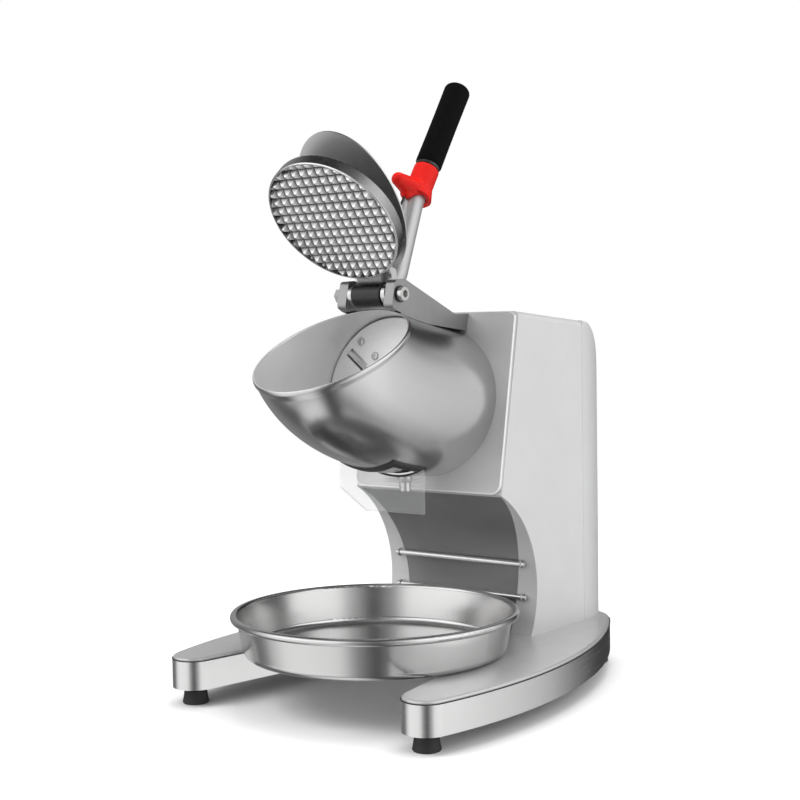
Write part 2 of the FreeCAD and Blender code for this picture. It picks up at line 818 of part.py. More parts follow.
def stator_windings():
    coils = []
    for s0, s1 in ((-34.6, -26), (-94, -85.4)):
        ring = axis_ring(s0, s1, 52, 36)
        coils.append(ring.makeFillet(3, [e for e in ring.Edges if e.Closed]))
    return coils


def motor_housing():
    return axis_ring(motor_rear + 12, motor_front - 12, motor_r, motor_r - 2.7)


def shaft_seal():
    ring = axis_ring(-6, 3, 15.9, shaft_r + 0.4)
    return ring.fuse(axis_ring(0.2, 3, 21, 15.8))


# Electrical pieces

def run_capacitor():
    return rod(V(35, 120, 60), V(35, 120, 130), 19)


def capacitor_clip():
    ring = pipe(V(35, 120, 85), V(35, 120, 97), 20.6, 19)
    tab = box(53.5, 87.6, 112, 128, 85, 97)
    return ring.fuse(tab.cut(rod(V(35, 120, 60), V(35, 120, 130), 19.5)))


def terminal_block():
    body = box(-50, -5, 105, 127, leg_top, 64)
    for k in range(4):
        x = -44.5 + k * 11.3
        body = body.cut(rod(V(x, 110.5, 58), V(x, 110.5, 70), 2.6))
        body = body.cut(rod(V(x, 121.5, 58), V(x, 121.5, 70), 2.6))
    return body


def cord_inlet():
    """A bush for the mains lead in the rear cover."""
    neck = rod(V(gland_x, 192, gland_z), V(gland_x, 204, gland_z), 6.1)
    collar = rod(V(gland_x, 201.5, gland_z), V(gland_x, 206.5, gland_z), 9.5)
    nut = rod(V(gland_x, 192, gland_z), V(gland_x, 196.5, gland_z), 9.5)
    outer = max((e for e in collar.Edges if e.Closed), key=lambda e: e.BoundBox.YMax)
    collar = collar.makeFillet(1.5, [outer])
    bush = neck.fuse([collar, nut])
    return bush.cut(rod(V(gland_x, 190, gland_z), V(gland_x, 210, gland_z), gland_bore))


def switch_bezel():
    outer = box(-94.2, -91.4, switch_y - 12.5, switch_y + 12.5, switch_z - 17, switch_z + 17)
    edges = [e for e in outer.Edges if e.BoundBox.XLength > 1]
    outer = outer.makeFillet(3, edges)
    well = box(-91.6, -66, switch_y - 9.2, switch_y + 9.2, switch_z - 13.2, switch_z + 13.2)
    body = outer.fuse(well)
    space = box(-96, -72, switch_y - 7.4, switch_y + 7.4, switch_z - 11.8, switch_z + 11.8)
    body = body.cut(space)
    pin = rod(V(switch_pin_x, switch_y - 8, switch_z), V(switch_pin_x, switch_y + 8, switch_z), 1.5)
    return body.fuse(pin)


def rocker():
    """A two-position key, resting with its lower end out."""
    block = box(-95.0, -82, switch_y - 7, switch_y + 7, switch_z - 9.6, switch_z + 9.6)
    dish = Part.makeCylinder(26, 40, V(-95.0 - 23.6, switch_y - 20, switch_z), Y_AXIS)
    block = block.cut(dish)
    pin = rod(V(switch_pin_x, switch_y - 9, switch_z), V(switch_pin_x, switch_y + 9, switch_z), 1.8)
    block = block.cut(pin)
    block.rotate(V(switch_pin_x, switch_y, switch_z), Y_AXIS, rocker_tilt)
    return block


# Hinge bracket, lever, presser and lid

def bracket_arm(x0, x1):
    profile = [(-84.5, 361), (-78.5, 384.5), (-64.9, 385.7), (13.3, 353.9), (33.5, 350.5),
               (31.5, 338), (-60, 348)]
    arm = side_plate(profile, x0, x1)
    nose = [e for e in arm.Edges if e.BoundBox.XLength > 5 and e.BoundBox.YMax < -60]
    arm = arm.makeFillet(4.5, nose)
    return arm


def hinge_bracket():
    left = bracket_arm(-arm_out, -arm_in)
    right = bracket_arm(arm_in, arm_out)
    web = side_plate([(12, 352), (20, 343), (40, 343), (40, 355)], -arm_out, arm_out)
    body = left.fuse([right, web])
    body = body.cut(drum_loft(-0.08, 1.0, 0.25)).cut(drum_loft(0.97, 1.06, bead + 0.3, 3))
    body = body.cut(rod(V(-50, hinge.y, hinge.z), V(50, hinge.y, hinge.z), bolt_r))
    behind = side_plate([(panel_point(330).y, 330), (panel_point(362).y, 362), (80, 362), (80, 330)], -60, 60)
    body = body.cut(behind)
    for x in (-14, 14):
        body = body.cut(rod(V(x, 0, 349), V(x, 60, 349), 2.4))
    return max(body.Solids, key=lambda s: s.Volume)


def bracket_screws():
    start = panel_point(349, -12.0)
    return [dome_screw(start + V(x, 0, 0), V(0, -1, 0), 4.2, 2.6, 2.2, 22) for x in (-14, 14)]


def hinge_bolt():
    start = V(arm_out + 1.2, hinge.y, hinge.z)
    return cap_screw(start, X_AXIS, 6.6, 5.0, bolt_r, arm_out * 2 + 9)


def hinge_washers():
    rings = []
    for side in (1, -1):
        start = V(side * (arm_out + 0.05), hinge.y, hinge.z)
        rings.append(pipe(start, start + V(side * 1.1, 0, 0), 7.6, bolt_r))
    return rings


def hinge_nut():
    start = V(-arm_out - 1.25, hinge.y, hinge.z)
    corners = [start + V(0, 6.9 * math.cos(math.radians(60 * k)), 6.9 * math.sin(math.radians(60 * k)))
               for k in range(7)]
    nut = Part.Face(Part.makePolygon(corners)).extrude(V(-6.5, 0, 0))
    return nut.cut(rod(V(0, hinge.y, hinge.z), V(-60, hinge.y, hinge.z), bolt_r))


def hinge_hole(half):
    return rod(V(-half, hinge.y, hinge.z), V(half, hinge.y, hinge.z), bolt_r + run)


def lever_hub():
    body = rod(V(-hub_half, hinge.y, hinge.z), V(hub_half, hinge.y, hinge.z), hub_r)
    body = body.makeFillet(1, [e for e in body.Edges if e.Closed])
    return body.cut(hinge_hole(30))


def lever_path():
    return bent_path([hinge, lever_low, lever_bend, lever_end], 22)


def lever_tube():
    path = lever_path()
    outer = swept_disc(path, tube_r)
    hub_space = rod(V(-30, hinge.y, hinge.z), V(30, hinge.y, hinge.z), hub_r)
    way = (lever_end - lever_bend).normalize()
    bore = rod(lever_bend + way * 12, lever_end + way, tube_r - tube_wall)
    return outer.cut(hub_space).cut(bore)


def lever_way():
    return (lever_end - lever_bend).normalize()


def grip():
    way = lever_way()
    start = lever_end - way * (grip_long - grip_cap)
    end = lever_end + way * grip_cap
    body = rod(start, end, grip_r)
    rims = [e for e in body.Edges if e.Closed]
    far = max(rims, key=lambda e: e.CenterOfMass.z)
    near = min(rims, key=lambda e: e.CenterOfMass.z)
    body = body.makeFillet(5.5, [far]).makeFillet(1.5, [near])
    return body.cut(rod(start - way, lever_end, tube_r))


def rounded_cone(root, root_r, tip, tip_r):
    """A cone that ends in a ball."""
    cone = Part.makeCone(root_r, tip_r, (tip - root).Length, root, tip - root)
    return cone.fuse(Part.makeSphere(tip_r, tip, tip - root))


def red_collar():
    """The sliding trigger: a collar round the tube with a finger lobe in front."""
    way = lever_way()
    low = lever_bend + way * collar_low
    high = lever_bend + way * collar_high
    body = rod(low, high, collar_r)
    flare = Part.makeCone(collar_r + collar_flare, collar_r - 0.05, 14, low, way)
    lobe = rounded_cone(V(0, -5.0, 471.0), 11.5, V(0, -30.0, 479.9), lobe_tip_r)
    apron = rounded_cone(V(0, -1.0, 470.0), 10.5, V(0, -17.5, 468.2), 6.0)
    body = body.fuse([flare, lobe, apron])
    return body.cut(rod(low - way * 20, high + way * 20, tube_r + 0.45))


def trigger_rod():
    """The thin link that hangs from the collar towards the lid."""
    link = rod(V(0, -19.5, 466.0), V(0, -30.5, 452.0), 1.3)
    return room_for(link, [red_collar()])


def trigger_stop():
    """A ring on the tube that the collar stops against."""
    way = lever_way()
    start = lever_end - way * (grip_long - grip_cap) - way * 2.9
    return pipe(start, start + way * 2.7, collar_r - 0.6, tube_r)


def presser_disc():
    start = from_hinge(presser_angle, presser_reach)
    back = from_hinge(presser_angle, presser_reach, 1) - start
    body = Part.makeCylinder(presser_r, presser_thick, start, back)
    rims = [e for e in body.Edges if e.Closed]
    body = body.makeFillet(1.2, rims)
    grooves = Part.makeCylinder(presser_r - 1.8, 30, start - back * 15, back)
    way = from_hinge(presser_angle, presser_reach + 1) - start
    cuts = []
    lines = int(presser_r / waffle_pitch) + 1
    for k in range(-lines, lines + 1):
        shift = k * waffle_pitch
        for a, b in ((X_AXIS, way), (way, X_AXIS)):
            middle = start + b * shift - a * 80
            half = b * waffle_pitch * 0.46
            corners = [middle - half - back * 0.5, middle + half - back * 0.5, middle + back * waffle_deep]
            face = Part.Face(Part.makePolygon(corners + corners[:1]))
            cuts.append(face.extrude(a * 160))
    body = body.cut(cuts[0].multiFuse(cuts[1:]).common(grooves))
    return max(body.Solids, key=lambda s: s.Volume)


def presser_arm():
    """The web that carries the disc: a flat bar from the hub along the disc's back."""
    def place(along, behind):
        p = from_hinge(presser_angle, along, behind)
        return (p.y, p.z)
    bar = side_plate([place(0, 8.5), place(10, 12.05), place(presser_reach + 16, 12.05),
                      place(presser_reach + 16, 16.8), place(0, 16.8)], -14, 14)
    foot = side_plate([place(0, 2), place(19, 8), place(19, 12.05), place(0, 12.05)], -14, 14)
    body = bar.fuse(foot)
    body = body.cut(rod(V(-30, hinge.y, hinge.z), V(30, hinge.y, hinge.z), hub_r))
    start = from_hinge(presser_angle, presser_reach, 0)
    end = from_hinge(presser_angle, presser_reach, 30)
    return max(body.cut(rod(start, end, 3.1)).Solids, key=lambda s: s.Volume)


def presser_screw():
    start = from_hinge(presser_angle, presser_reach, 16.85)
    way = from_hinge(presser_angle, presser_reach, 17.85) - start
    return cap_screw(start, way, 5.4, 4.4, 3.0, 9.8)


def lid_sheet():
    """An oval plate with a rounded edge and a notch for the lever."""
    start = from_hinge(lid_angle, lid_reach, lid_offset)
    back = from_hinge(lid_angle, lid_reach, lid_offset + 1) - start
    way = from_hinge(lid_angle, lid_reach + 1, lid_offset) - start
    oval = Part.Ellipse(start + way * lid_long, start + X_AXIS * lid_half, start)
    body = Part.Face(Part.Wire(oval.toShape())).extrude(back * sheet)
    notch_end = from_hinge(lid_angle, 24, lid_offset - 5)
    notch = Part.makeCylinder(12, 20, notch_end, back)
    body = body.cut(notch)
    low = from_hinge(lid_angle, 0, lid_offset - 5, -12)
    corners = [low, low + X_AXIS * 24, low + X_AXIS * 24 + way * 24, low + way * 24, low]
    return body.cut(Part.Face(Part.makePolygon(corners)).extrude(back * 20))


def lid_arms():
    """Two ears that carry the sheet on the hinge bolt."""
    def place(along, behind):
        p = from_hinge(lid_angle, along, behind)
        return (p.y, p.z)
    ears = []
    for x0 in (hub_half + 0.6, -hub_half - 0.6 - 4.4):
        knuckle = rod(V(x0, hinge.y, hinge.z), V(x0 + 4.4, hinge.y, hinge.z), 9.8)
        bar = side_plate([place(0, 2), place(14, 11.0), place(62, 15.5), place(62, lid_offset - 0.02),
                          place(13, lid_offset - 0.02), place(-2, 9.5)], x0, x0 + 4.4)
        ears.append(knuckle.fuse(bar).cut(hinge_hole(30)).removeSplitter())
    return ears


def lid_rivets():
    rivets = []
    for x in (-1, 1):
        for along in (30, 52):
            start = from_hinge(lid_angle, along, lid_offset + sheet, x * (hub_half + 2.8))
            back = from_hinge(lid_angle, along, lid_offset + sheet + 1, x * (hub_half + 2.8)) - start
            head = Part.makeCylinder(3.0, 1.4, start, back)
            rivets.append(head.makeFillet(1.0, [max((e for e in head.Edges if e.Closed),
                                                    key=lambda e: (e.CenterOfMass - start).dot(back))]))
    return rivets


def main():
    os.makedirs("parts", exist_ok=True)
    save("base_casting", base_casting())
    save("base_band", base_band())
    save("base_floor", base_floor())
    save("rubber_feet", *[foot_pad(x, y) for x, y in feet()])
    save("foot_screws", *[foot_screw(x, y) for x, y in feet()])
    save("tray", tray())
    save("column_shell", room_for(column_shell(), bracket_screws()))
    save("front_panel", room_for(front_panel(), bracket_screws() + drum_screws()))
    save("recess_panel", recess_panel())
    save("recess_rods", *recess_rods())
    save("rear_cover", rear_cover())
    save("rear_cover_screws", *rear_cover_screws())
    save("drum", room_for(drum(), [guard_bolt()]))
    save("drum_flange", drum_flange())
    save("drum_screws", *drum_screws())
    save("outlet_gasket", room_for(outlet_gasket(), [drum()]))
    save("ice_guard", guard())
    save("guard_bolt", guard_bolt())
    save("guard_boss", guard_boss())
    save("blade_disc", blade_disc())
    save("blades", *blades())
    save("blade_screws", *blade_screws())
    save("disc_hub", disc_hub())
    save("hub_nut", hub_nut())
    save("motor_shaft", motor_shaft())
    save("rotor_core", rotor_core())
    save("cooling_fan", cooling_fan())
    save("motor_front_bell", room_for(motor_front_bell(), motor_bolts()))
    save("motor_rear_bell", motor_rear_bell())
    save("motor_housing", motor_housing())
    save("front_bearing", bearing(motor_front - 12))
    save("rear_bearing", bearing(motor_rear + 3))
    save("stator_core", stator_core())
    save("stator_windings", *stator_windings())
    save("motor_standoffs", *motor_standoffs())
    save("motor_bolts", *motor_bolts())
    save("shaft_seal", shaft_seal())
    save("run_capacitor", run_capacitor())
    save("capacitor_clip", room_for(capacitor_clip(), [column_shell()]))
    save("terminal_block", terminal_block())
    save("cord_inlet", cord_inlet())
    save("switch_bezel", switch_bezel())
    save("switch_rocker", rocker())
    save("hinge_bracket", room_for(hinge_bracket(), bracket_screws()))
    save("bracket_screws", *bracket_screws())
    save("hinge_bolt", hinge_bolt())
    save("hinge_washers", *hinge_washers())
    save("hinge_nut", hinge_nut())
    save("lever_hub", lever_hub())
    save("lever_tube", lever_tube())
    save("lever_grip", grip())
    save("trigger_stop", trigger_stop())
    save("trigger_collar", red_collar())
    save("trigger_rod", trigger_rod())
    save("presser_disc", room_for(presser_disc(), [presser_screw()]))
    save("presser_arm", room_for(presser_arm(), [lever_tube(), presser_disc()]))
    save("presser_screw", presser_screw())
    save("lid_sheet", lid_sheet())
    save("lid_arms", *lid_arms())
    save("lid_rivets", *lid_rivets())


main()
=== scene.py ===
"""Looks for the table-top ice shaver: materials, small detail pieces, studio and camera."""

import math

import bmesh
import bpy
from mathutils import Matrix, Vector


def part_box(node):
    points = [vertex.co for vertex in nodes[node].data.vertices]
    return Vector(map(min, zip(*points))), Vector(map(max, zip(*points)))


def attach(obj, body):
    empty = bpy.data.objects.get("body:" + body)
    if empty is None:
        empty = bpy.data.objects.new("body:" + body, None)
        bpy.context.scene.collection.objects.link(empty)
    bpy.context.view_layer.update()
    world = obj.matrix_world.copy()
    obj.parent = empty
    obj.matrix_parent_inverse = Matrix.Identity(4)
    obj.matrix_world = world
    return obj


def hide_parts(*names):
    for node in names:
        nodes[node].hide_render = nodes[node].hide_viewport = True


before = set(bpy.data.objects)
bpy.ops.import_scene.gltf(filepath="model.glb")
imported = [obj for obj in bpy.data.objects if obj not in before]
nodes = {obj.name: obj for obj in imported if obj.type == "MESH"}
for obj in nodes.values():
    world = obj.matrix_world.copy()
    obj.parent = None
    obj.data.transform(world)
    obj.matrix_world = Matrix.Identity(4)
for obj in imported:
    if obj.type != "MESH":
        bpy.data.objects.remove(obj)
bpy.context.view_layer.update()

# The CAD's own places, in metres
PANEL_TILT = math.radians(10.45)
DRUM_AXIS = Vector((0, -math.cos(PANEL_TILT), math.sin(PANEL_TILT)))
DRUM_RISE = Vector((0, math.sin(PANEL_TILT), math.cos(PANEL_TILT)))
DRUM_CENTRE = Vector((0, 0.0195, 0.2702))
DRUM_RADIUS = 0.0725
DRUM_SHEET = 0.0015
DRUM_BEAD = 0.0012
MOUTH_TOP = Vector((0, -0.0662, 0.3586))
MOUTH_FRONT = Vector((0, -0.1980, 0.2888))
MOUTH_HALF = 0.0705
OUTLET_LOW = Vector((-0.0270, -0.0600, 0.1900))
OUTLET_HIGH = Vector((0.0270, -0.0420, 0.2320))
TRAY_CENTRE = Vector((0, -0.07585, 0))
HINGE = Vector((0, -0.0723, 0.3719))
LEVER_BEND = Vector((0, -0.0080, 0.4580))
LEVER_END = Vector((0, 0.06558, 0.57024))
LEVER_WAY = (LEVER_END - LEVER_BEND).normalized()
GRIP_LONG = 0.0960
GRIP_CAP = 0.0065
GRIP_RADIUS = 0.0129
GRIP_BORE = 0.0097
PRESSER_ANGLE = math.radians(131.2)
PRESSER_REACH = 0.083
EYELET_RADIUS = 0.0034
ROCKER_PIN = Vector((-0.085, 0.092, 0.298))
ROCKER_TILT = math.radians(11.0)
DISH_RADIUS = 0.026
DISH_CENTRE = -0.0336
X_AXIS = Vector((1, 0, 0))
Z_AXIS = Vector((0, 0, 1))


# Node helpers

class Graph:
    """Short ways to make and join shader nodes."""

    def __init__(self, tree):
        self.tree = tree

    def node(self, kind, **settings):
        made = self.tree.nodes.new(kind)
        for key, value in settings.items():
            setattr(made, key, value)
        return made

    def link(self, out, into):
        self.tree.links.new(out, into)

    def put(self, socket, value):
        """Sets a socket to a number or colour, or links it to another socket."""
        if isinstance(value, bpy.types.NodeSocket):
            self.link(value, socket)
        else:
            socket.default_value = value

    def maths(self, operation, a, b=0.0, clamp=False):
        made = self.node("ShaderNodeMath", operation=operation, use_clamp=clamp)
        self.put(made.inputs[0], a)
        self.put(made.inputs[1], b)
        return made.outputs[0]

    def vector(self, operation, a, b=(0, 0, 0)):
        made = self.node("ShaderNodeVectorMath", operation=operation)
        self.put(made.inputs[0], a)
        self.put(made.inputs[1], b)
        return made.outputs["Value" if operation in ("DOT_PRODUCT", "LENGTH") else "Vector"]

    def spread(self, value, low, high, to_low=0.0, to_high=1.0, smooth=False):
        made = self.node("ShaderNodeMapRange")
        if smooth:
            made.interpolation_type = "SMOOTHSTEP"
        for key, number in (("Value", value), ("From Min", low), ("From Max", high),
                            ("To Min", to_low), ("To Max", to_high)):
            self.put(made.inputs[key], number)
        return made.outputs["Result"]

    def mix(self, share, a, b):
        made = self.node("ShaderNodeMix", data_type="RGBA")
        self.put(made.inputs["Factor"], share)
        self.put(made.inputs[6], a if isinstance(a, bpy.types.NodeSocket) else (*a, 1))
        self.put(made.inputs[7], b if isinstance(b, bpy.types.NodeSocket) else (*b, 1))
        return made.outputs[2]

    def noise(self, where, scale, detail=2.0, rough=0.5):
        made = self.node("ShaderNodeTexNoise")
        self.link(where, made.inputs["Vector"])
        for key, number in (("Scale", scale), ("Detail", detail), ("Roughness", rough)):
            made.inputs[key].default_value = number
        return made.outputs["Fac"]

    def cells(self, where, scale, feature="F1"):
        made = self.node("ShaderNodeTexVoronoi", feature=feature)
        self.link(where, made.inputs["Vector"])
        made.inputs["Scale"].default_value = scale
        return made

    def ramp(self, share, stops):
        """A grey level from (position, level) stops."""
        made = self.node("ShaderNodeValToRGB")
        made.color_ramp.interpolation = "EASE"
        self.link(share, made.inputs["Fac"])
        spots = made.color_ramp.elements
        while len(spots) < len(stops):
            spots.new(0.5)
        for spot, (position, level) in zip(spots, stops):
            spot.position = position
            spot.color = (level, level, level, 1)
        return made.outputs["Color"]


class Look(Graph):
    """One procedural material: a Principled shader and the nodes that feed it."""

    def __init__(self, name):
        self.material = bpy.data.materials.new(name)
        self.material.use_nodes = True
        super().__init__(self.material.node_tree)
        self.shader = self.tree.nodes["Principled BSDF"]

    def set(self, **values):
        for key, value in values.items():
            self.put(self.shader.inputs[key.replace("_", " ")], value)

    def place(self, scale=(1, 1, 1)):
        """Object coordinates in metres, scaled."""
        source = self.node("ShaderNodeTexCoord")
        mapping = self.node("ShaderNodeMapping")
        mapping.inputs["Scale"].default_value = scale
        self.link(source.outputs["Object"], mapping.inputs["Vector"])
        return mapping.outputs["Vector"]

    def normal(self):
        return self.node("ShaderNodeTexCoord").outputs["Normal"]

    def bump(self, height, strength, distance):
        made = self.node("ShaderNodeBump")
        made.inputs["Strength"].default_value = strength
        made.inputs["Distance"].default_value = distance
        self.link(height, made.inputs["Height"])
        self.link(made.outputs["Normal"], self.shader.inputs["Normal"])

    def turned(self, origin, axis, fine, along):
        """Coordinates that run round an axis, for lathe and circular brush marks."""
        side = axis.orthogonal().normalized()
        other = axis.cross(side).normalized()
        point = self.vector("SUBTRACT", self.place(), tuple(origin))
        height = self.vector("DOT_PRODUCT", point, tuple(axis))
        across = self.vector("DOT_PRODUCT", point, tuple(side))
        beside = self.vector("DOT_PRODUCT", point, tuple(other))
        radius = self.maths("SQRT", self.maths("ADD", self.maths("MULTIPLY", across, across),
                                               self.maths("MULTIPLY", beside, beside)))
        angle = self.maths("ARCTAN2", across, beside)
        joined = self.node("ShaderNodeCombineXYZ")
        self.link(self.maths("MULTIPLY", radius, fine), joined.inputs[0])
        self.link(self.maths("MULTIPLY", height, fine), joined.inputs[1])
        self.link(self.maths("MULTIPLY", angle, along), joined.inputs[2])
        return joined.outputs[0]


def grey(value, warm=0.0):
    return (value + warm, value, value - warm)


# Materials

def painted(name, tone, metallic=0.35, rough=0.42, grime=0.05):
    """Silver lacquer: fine flake, faint orange peel and a little handling haze."""
    look = Look(name)
    flake = look.cells(look.place(), 2600.0).outputs["Color"]
    flake = look.vector("DOT_PRODUCT", flake, (0.33, 0.33, 0.33))
    cloud = look.noise(look.place(), 14.0, 4.0, 0.6)
    shade = look.maths("ADD", look.spread(flake, 0.0, 1.0, -0.045, 0.045),
                       look.spread(cloud, 0.3, 0.7, -grime * 0.5, grime * 0.5))
    bright = look.maths("ADD", shade, 1.0)
    colour = look.node("ShaderNodeVectorMath", operation="SCALE")
    colour.inputs[0].default_value = tone
    look.link(bright, colour.inputs["Scale"])
    look.set(Base_Color=colour.outputs["Vector"], Metallic=metallic)
    look.set(Roughness=look.spread(look.noise(look.place(), 60.0, 3.0), 0.3, 0.7, rough - 0.03, rough + 0.05))
    look.set(Coat_Weight=0.18, Coat_Roughness=0.22)
    look.bump(look.noise(look.place(), 900.0, 2.0), 0.10, 0.0004)
    return look.material


def brushed(name, tone, rough, where=None, streak=0.10, dent=0.12, anisotropic=0.0, metallic=1.0,
            contrast=0.05):
    """Steel with fine brush lines that follow the given coordinates."""
    look = Look(name)
    lines = where(look) if where else look.place((18, 18, 2600))
    fine = look.noise(lines, 1.0, 4.0, 0.7)
    cloud = look.noise(look.place(), 9.0, 3.0, 0.55)
    shade = look.maths("ADD", look.spread(fine, 0.3, 0.7, -contrast, contrast),
                       look.spread(cloud, 0.3, 0.7, -0.03, 0.03))
    colour = look.node("ShaderNodeVectorMath", operation="SCALE")
    colour.inputs[0].default_value = tone
    look.link(look.maths("ADD", shade, 1.0), colour.inputs["Scale"])
    look.set(Base_Color=colour.outputs["Vector"], Metallic=metallic)
    look.set(Roughness=look.spread(fine, 0.25, 0.75, rough - streak * 0.5, rough + streak * 0.5))
    look.shader.inputs["Anisotropic"].default_value = anisotropic
    look.bump(fine, dent, 0.00012)
    return look.material


def drawn(*scale):
    """Straight brush lines, by how often they repeat along x, y and z."""
    return lambda look: look.place(scale)


def turned_steel(name, origin, axis, tone, rough, fine=2200.0, along=2.0, **more):
    return brushed(name, tone, rough, where=lambda look: look.turned(origin, axis, fine, along), **more)


def drum_steel():
    """Polished stainless with very faint spun lines; the interior is duller, and painted paler and less
    metallic as a painted brightening for the light that falls into the mouth.
    """
    look = Look("drum_steel")
    middle = ((MOUTH_TOP + MOUTH_FRONT) / 2 - DRUM_CENTRE).normalized()
    point = look.vector("SUBTRACT", look.place(), tuple(DRUM_CENTRE))
    along = look.node("ShaderNodeVectorMath", operation="SCALE")
    along.inputs[0].default_value = middle
    look.link(look.vector("DOT_PRODUCT", point, tuple(middle)), along.inputs["Scale"])
    outward = look.vector("SUBTRACT", point, along.outputs["Vector"])
    # Mask of the interior faces: their colour is painted paler and less metallic, painted light for the lit
    # interior of the mouth.
    inside_painted_light = look.spread(look.vector("DOT_PRODUCT", look.normal(), outward), 0.004, -0.004)
    lines = look.turned(DRUM_CENTRE, DRUM_AXIS, 1500.0, 1.2)
    fine = look.noise(lines, 1.0, 3.0, 0.6)
    colour = look.node("ShaderNodeVectorMath", operation="SCALE")
    look.link(look.mix(inside_painted_light, grey(0.62), grey(0.80)), colour.inputs[0])
    look.link(look.spread(fine, 0.3, 0.7, 0.98, 1.02), colour.inputs["Scale"])
    look.set(Base_Color=colour.outputs["Vector"], Metallic=look.spread(inside_painted_light, 0, 1, 1.0, 0.55))
    duller = look.maths("MULTIPLY", inside_painted_light, 0.12)
    look.set(Roughness=look.maths("ADD", look.spread(fine, 0.25, 0.75, 0.22, 0.26), duller))
    look.bump(fine, 0.03, 0.00004)
    return look.material


def cast(name, tone, rough=0.38):
    """Cast alloy, tumbled smooth, with a fine grain."""
    look = Look(name)
    grain = look.noise(look.place(), 1400.0, 5.0, 0.7)
    cloud = look.noise(look.place(), 40.0, 3.0)
    shade = look.maths("ADD", look.spread(grain, 0.3, 0.7, -0.07, 0.07),
                       look.spread(cloud, 0.3, 0.7, -0.05, 0.05))
    colour = look.node("ShaderNodeVectorMath", operation="SCALE")
    colour.inputs[0].default_value = tone
    look.link(look.maths("ADD", shade, 1.0), colour.inputs["Scale"])
    look.set(Base_Color=colour.outputs["Vector"], Metallic=0.92)
    look.set(Roughness=look.spread(grain, 0.3, 0.7, rough - 0.06, rough + 0.08))
    look.bump(grain, 0.22, 0.0003)
    return look.material


def waffle():
    """The presser: pyramids painted bright on the face with painted shade in the grooves between them, and a
    satin turned edge painted darker than the face.
    """
    look = Look("waffle_alloy")
    back = Vector((0, math.sin(PRESSER_ANGLE), -math.cos(PRESSER_ANGLE)))
    start = HINGE + Vector((0, math.cos(PRESSER_ANGLE), math.sin(PRESSER_ANGLE))) * PRESSER_REACH
    depth = look.vector("DOT_PRODUCT", look.vector("SUBTRACT", look.place(), tuple(start)), tuple(back))
    facing = look.vector("DOT_PRODUCT", look.normal(), tuple(-back))
    # Painted light and shade: the face is painted bright, the edge and back darker, by which way each surface
    # faces.
    front = look.spread(facing, 0.35, 0.5)
    # Painted shade, darker the deeper into the grooves between the pyramids.
    painted_groove_shade = look.maths("MULTIPLY", look.spread(depth, 0.0005, 0.0042), front)
    grain = look.noise(look.place(), 1200.0, 5.0, 0.7)
    cloud = look.noise(look.place(), 120.0, 3.0, 0.6)
    tone = look.mix(painted_groove_shade, look.mix(front, grey(0.34), grey(0.84)), grey(0.12))
    shade = look.maths("ADD", look.spread(grain, 0.3, 0.7, -0.05, 0.05),
                       look.spread(cloud, 0.3, 0.7, -0.08, 0.08))
    colour = look.node("ShaderNodeVectorMath", operation="SCALE")
    look.link(tone, colour.inputs[0])
    look.link(look.maths("ADD", shade, 1.0), colour.inputs["Scale"])
    look.set(Base_Color=colour.outputs["Vector"], Metallic=1.0)
    look.set(Roughness=look.spread(cloud, 0.3, 0.7, 0.22, 0.34))
    look.bump(grain, 0.2, 0.00025)
    return look.material


def rubber(name, tone=0.018, rough=0.62):
    look = Look(name)
    grain = look.noise(look.place(), 900.0, 4.0, 0.6)
    cloud = look.noise(look.place(), 45.0, 3.0)
    look.set(Base_Color=look.mix(look.spread(cloud, 0.35, 0.65), grey(tone * 0.8), grey(tone * 1.3)))
    look.set(Roughness=look.spread(grain, 0.3, 0.7, rough - 0.06, rough + 0.06))
    look.shader.inputs["Specular IOR Level"].default_value = 0.4
    look.bump(grain, 0.25, 0.0004)
    return look.material


def foam():
    """Closed-cell grip foam: dark, dull and finely pitted."""
    look = Look("grip_foam")
    pits = look.cells(look.place(), 900.0, "SMOOTH_F1").outputs["Distance"]
    dust = look.noise(look.place(), 300.0, 5.0, 0.7)
    look.set(Base_Color=look.mix(look.spread(dust, 0.35, 0.7), grey(0.0015), grey(0.0035)))
    look.set(Roughness=look.spread(dust, 0.3, 0.7, 0.70, 0.85))
    look.shader.inputs["Specular IOR Level"].default_value = 0.10
    look.bump(pits, 0.35, 0.0005)
    return look.material


def plastic(name, tone, rough, deeper=None, specular=0.5):
    look = Look(name)
    cloud = look.noise(look.place(), 80.0, 3.0, 0.55)
    grain = look.noise(look.place(), 1600.0, 3.0, 0.6)
    dark = deeper or tuple(c * 0.86 for c in tone)
    look.set(Base_Color=look.mix(look.spread(cloud, 0.35, 0.65), tone, dark))
    look.set(Roughness=look.spread(grain, 0.3, 0.7, rough - 0.04, rough + 0.05))
    look.shader.inputs["Specular IOR Level"].default_value = specular
    look.bump(grain, 0.10, 0.0002)
    return look.material


def acrylic():
    """Thin clear sheet: a milky film on its faces, and a painted highlight along its cut edges, which are made
    more opaque.
    """
    look = Look("clear_guard")
    haze = look.noise(look.place((120, 120, 900)), 1.0, 4.0, 0.6)
    upright = look.maths("ABSOLUTE", look.vector("DOT_PRODUCT", look.normal(), tuple(Z_AXIS)))
    # Painted highlight: surfaces that look up or down, the sheet's cut edges, are made more opaque and so
    # paler.
    cut = look.spread(upright, 0.4, 0.6)
    look.set(Base_Color=look.mix(look.spread(haze, 0.4, 0.7), (0.88, 0.90, 0.90), (0.94, 0.95, 0.95)))
    look.set(Roughness=look.spread(haze, 0.45, 0.8, 0.05, 0.16))
    look.set(Alpha=look.maths("ADD", look.maths("MULTIPLY", cut, 0.45), 0.11))
    return look.material


